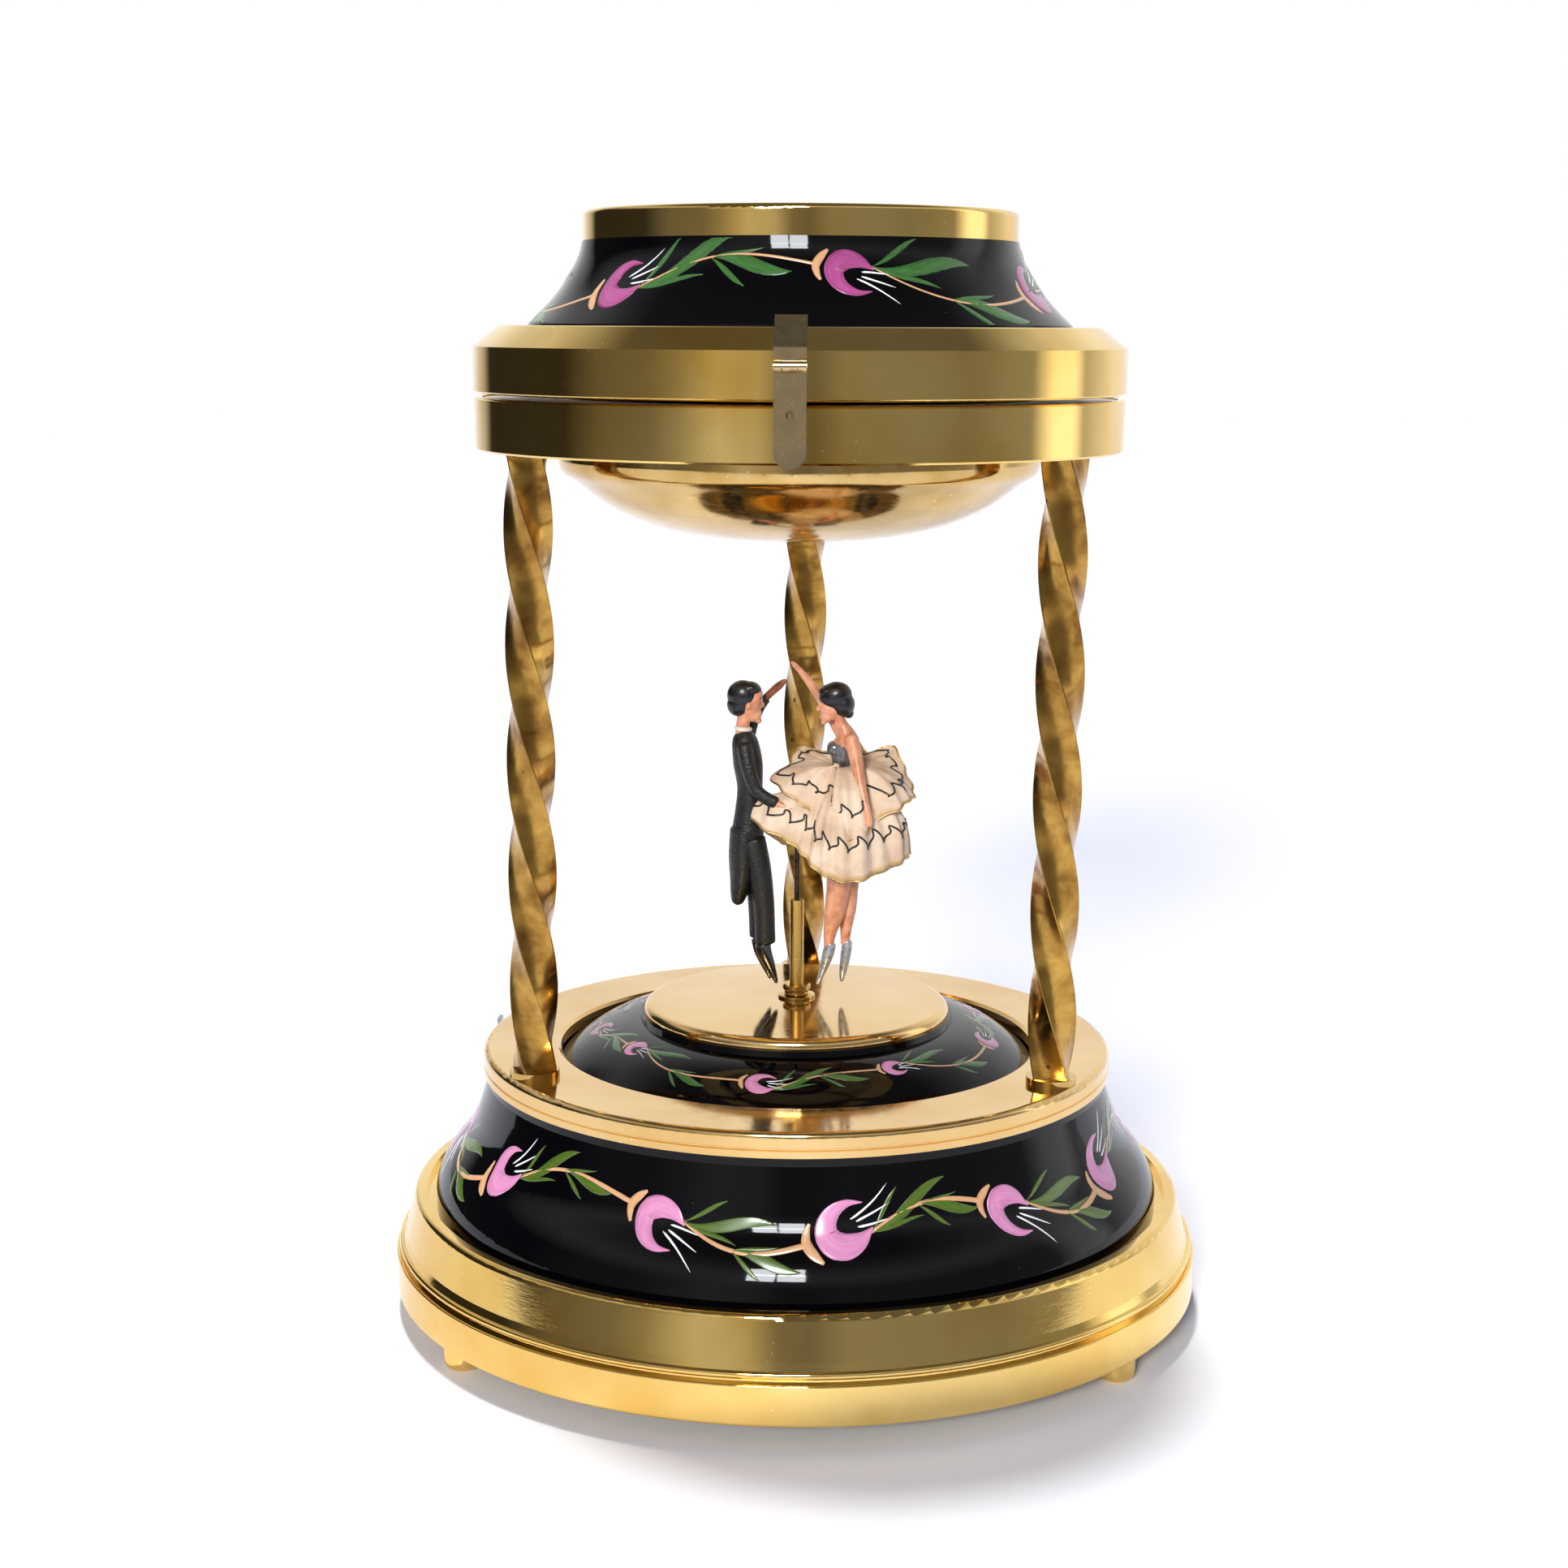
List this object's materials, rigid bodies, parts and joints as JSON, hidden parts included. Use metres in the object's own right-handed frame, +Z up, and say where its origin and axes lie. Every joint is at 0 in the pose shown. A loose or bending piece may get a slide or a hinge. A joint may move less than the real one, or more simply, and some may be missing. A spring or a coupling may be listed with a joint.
{
  "type": "carousel music box",
  "caption": "Music box with a dancing couple on a pillared stage that turns over a wind-up movement, under a trinket bowl with a hinged, clasped lid",
  "frame": {"origin": "on the floor, on the axis of the round base", "axes": "+Z up along the spindle that the dancers turn on; the clasp faces -Y and the lid hinge +Y; the feet, columns and hinge sit at the back (+Y), front left and front right"},
  "size_m": [0.126, 0.126, 0.1686],
  "materials": {
    "polished_brass": "lacquered, polished",
    "aged_brass": "tarnished, mottled",
    "movement_brass": "machined",
    "steel": "machined",
    "nickel_plate": "worn nickel plate",
    "black_enamel": "gloss enamel with painted flowers",
    "painted_steel": "satin black paint",
    "mirror_glass": "silvered glass",
    "black_coat": "hand-painted moulding",
    "flesh_paint": "hand-painted moulding",
    "skirt_cloth": "stiffened cloth with inked and gilt edges"
  },
  "bodies": {
    "stand": {"base_shell": "polished_brass", "feet": "movement_brass", "base_skirt": "black_enamel", "stage_ring": "polished_brass", "stage_dome": "black_enamel", "stage_disc": "polished_brass", "spindle_bush": "movement_brass", "bottom_plate": "painted_steel", "plate_screws": "steel", "column_left": "aged_brass", "column_right": "aged_brass", "column_rear": "aged_brass", "column_collars": "aged_brass", "column_nuts": "movement_brass", "tray_ring": "polished_brass", "tray_bowl": "polished_brass", "catch_stud": "nickel_plate", "hinge_leaf_lower": "movement_brass", "hinge_pin": "movement_brass", "bedplate": "movement_brass", "barrel_bridge": "movement_brass", "bearing_left": "movement_brass", "bearing_right": "movement_brass", "bearing_fly": "movement_brass", "bearing_screws": "steel", "comb_base": "movement_brass", "comb": "steel", "comb_screws": "steel", "lever_post": "movement_brass"},
    "lid": {"lid_ring": "polished_brass", "lid_band": "black_enamel", "lid_rim": "polished_brass", "lid_plate": "black_enamel", "lid_mirror": "mirror_glass", "mirror_ring": "polished_brass", "hinge_leaf_upper": "movement_brass", "hasp_bracket": "nickel_plate", "hasp_pin": "nickel_plate"},
    "hasp": {"hasp": "nickel_plate"},
    "barrel": {"great_wheel": "movement_brass", "barrel_drum": "movement_brass", "mainspring": "steel"},
    "key": {"winding_arbor": "steel", "winding_key": "nickel_plate"},
    "cylinder": {"pinned_cylinder": "movement_brass", "cylinder_pinion": "steel", "fly_wheel": "movement_brass"},
    "fly": {"fly_fan": "steel", "fly_pinion": "steel"},
    "dancers": {"spindle": "movement_brass", "spindle_pinion": "steel", "turning_collar": "movement_brass", "dancer_rod": "steel", "gentleman": "black_coat", "lady": "flesh_paint", "skirt_upper": "skirt_cloth", "skirt_lower": "skirt_cloth"},
    "stop_lever": {"stop_lever": "steel"}
  },
  "joints": [
    {"name": "lid_hinge", "type": "hinge", "parent": "stand", "child": "lid", "pos_m": [0, 0.0512, 0.1417], "axis": [-1, 0, 0], "range_deg": [0, 95]},
    {"name": "hasp_hinge", "type": "hinge", "parent": "lid", "child": "hasp", "pos_m": [0, -0.0501, 0.1467], "axis": [-1, 0, 0], "range_deg": [0, 100]},
    {"name": "barrel_turn", "type": "hinge", "parent": "stand", "child": "barrel", "pos_m": [-0.01111, -0.0126, 0.0218], "axis": [0, 0, 1], "continuous": true},
    {"name": "key_turn", "type": "hinge", "parent": "stand", "child": "key", "pos_m": [-0.01111, -0.0126, 0.0118], "axis": [0, 0, 1], "continuous": true},
    {"name": "cylinder_turn", "type": "hinge", "parent": "stand", "child": "cylinder", "pos_m": [0.0145, -0.0126, 0.02995], "axis": [1, 0, 0], "continuous": true},
    {"name": "fly_turn", "type": "hinge", "parent": "stand", "child": "fly", "pos_m": [0.03, -0.00508, 0.02721], "axis": [1, 0, 0], "continuous": true},
    {"name": "dancers_turn", "type": "hinge", "parent": "stand", "child": "dancers", "pos_m": [0, 0, 0.0338], "axis": [0, 0, 1], "continuous": true},
    {"name": "stop_lever_turn", "type": "hinge", "parent": "stand", "child": "stop_lever", "pos_m": [-0.014, 0.012, 0.0354], "axis": [0, 0, -1], "range_deg": [0, 2.8]}
  ],
  "couplings": [
    {"joint": "dancers_turn", "follows": "barrel_turn", "ratio": -3.6667},
    {"joint": "cylinder_turn", "follows": "barrel_turn", "ratio": 3.3333},
    {"joint": "fly_turn", "follows": "barrel_turn", "ratio": -10}
  ]
}
